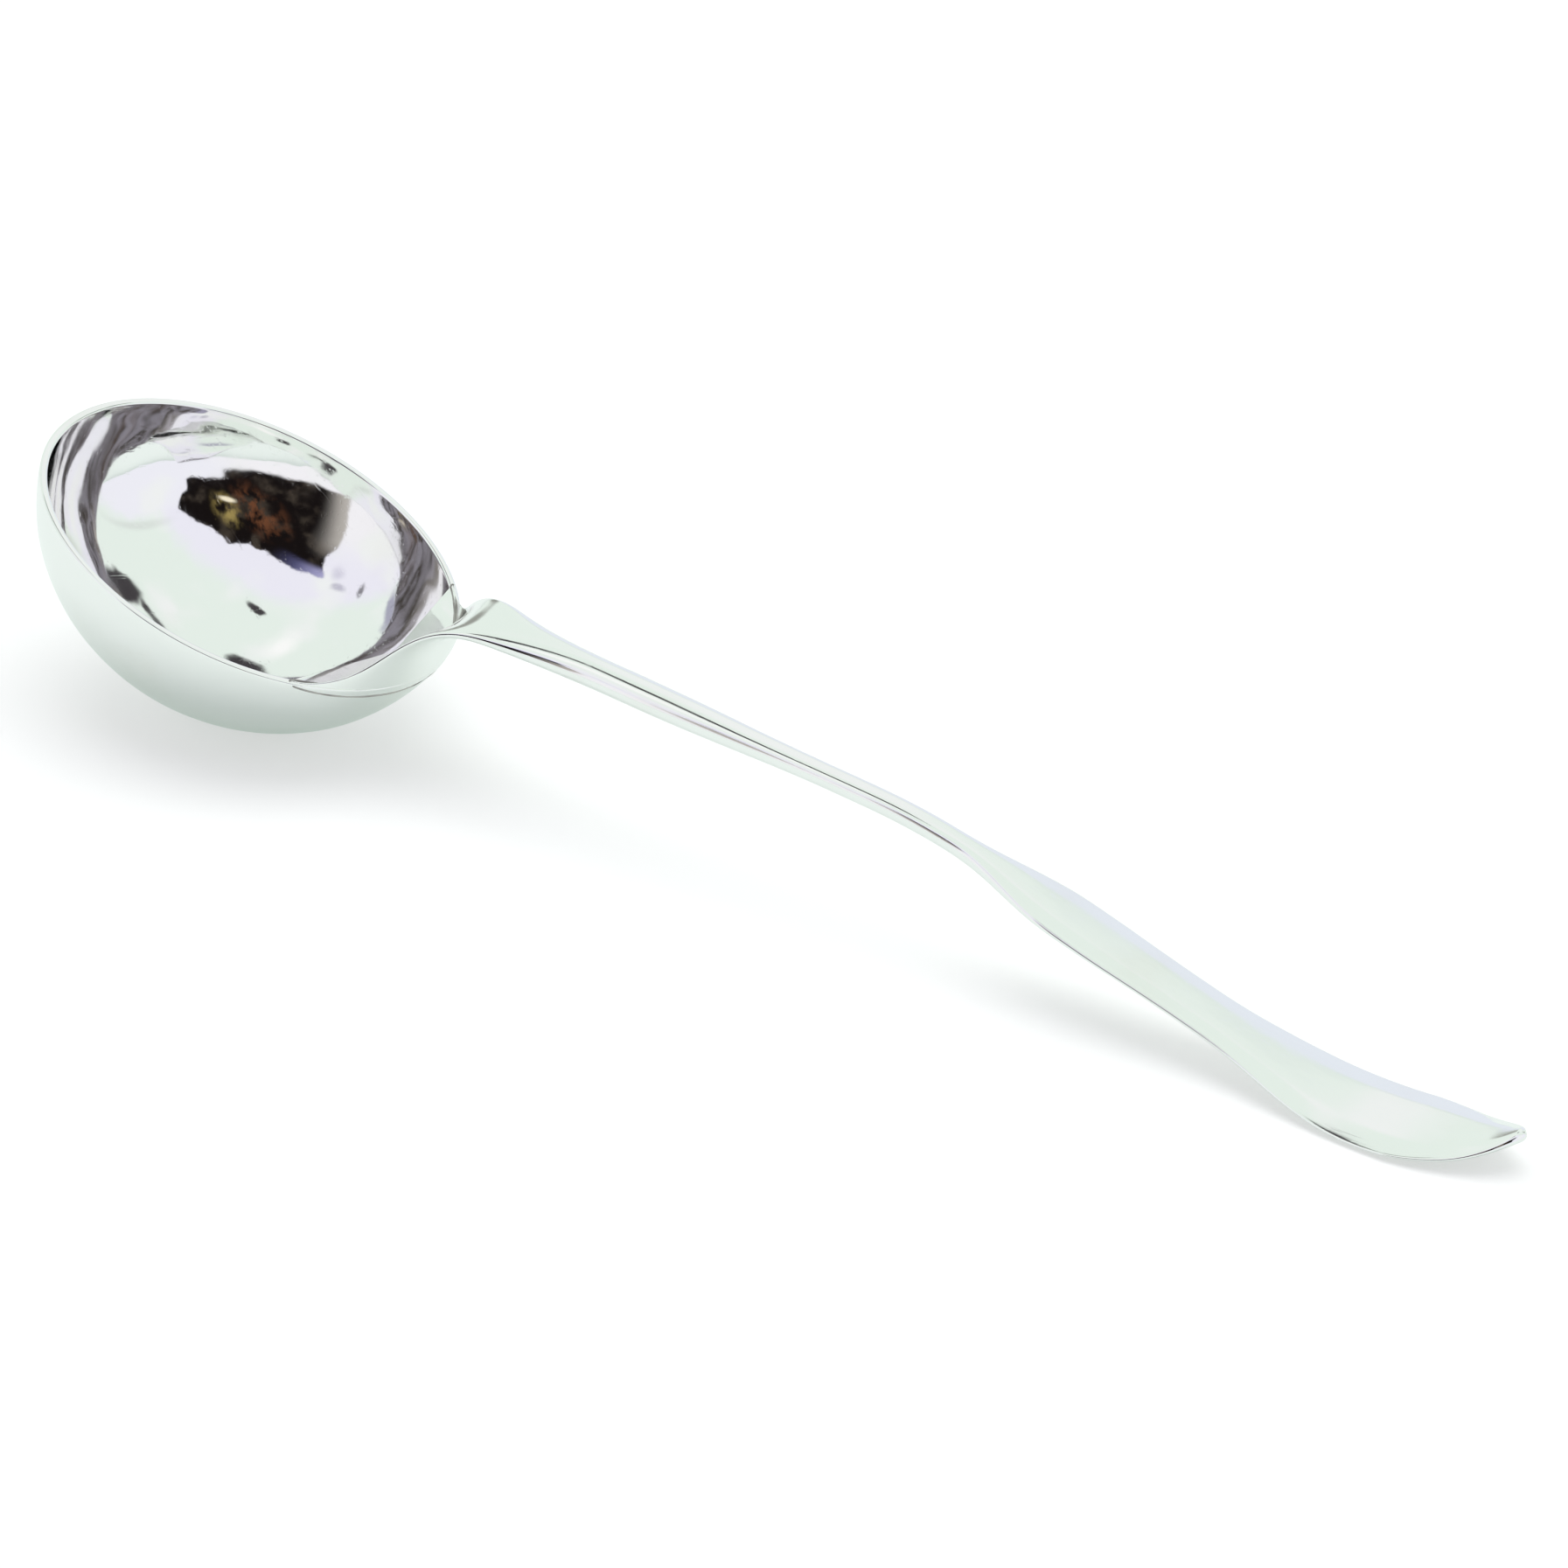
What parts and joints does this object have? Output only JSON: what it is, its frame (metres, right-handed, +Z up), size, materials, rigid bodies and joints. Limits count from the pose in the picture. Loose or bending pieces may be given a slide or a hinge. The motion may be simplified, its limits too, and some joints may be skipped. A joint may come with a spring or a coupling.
{
  "type": "sauce ladle",
  "caption": "Small table ladle: a round deep bowl soldered to a forged handle with a flared root, a slender arched stem and a fiddle-shaped blade with a turned-up end.",
  "frame": {"origin": "on the table, under the middle of the ladle's length and width as it lies at rest", "axes": "+X from the bowl to the end of the handle, +Z up from the table, XZ is the plane of symmetry"},
  "size_m": [0.1794, 0.05, 0.0276],
  "materials": {
    "bowl_silver": "hand-polished silver with planishing ripple and fine wear marks",
    "handle_silver": "polished silver, soft with use",
    "solder": "hard silver solder, slightly duller and warmer than the silver"
  },
  "bodies": {
    "root": {"bowl": "bowl_silver", "handle": "handle_silver", "solder_seam": "solder"}
  },
  "joints": []
}
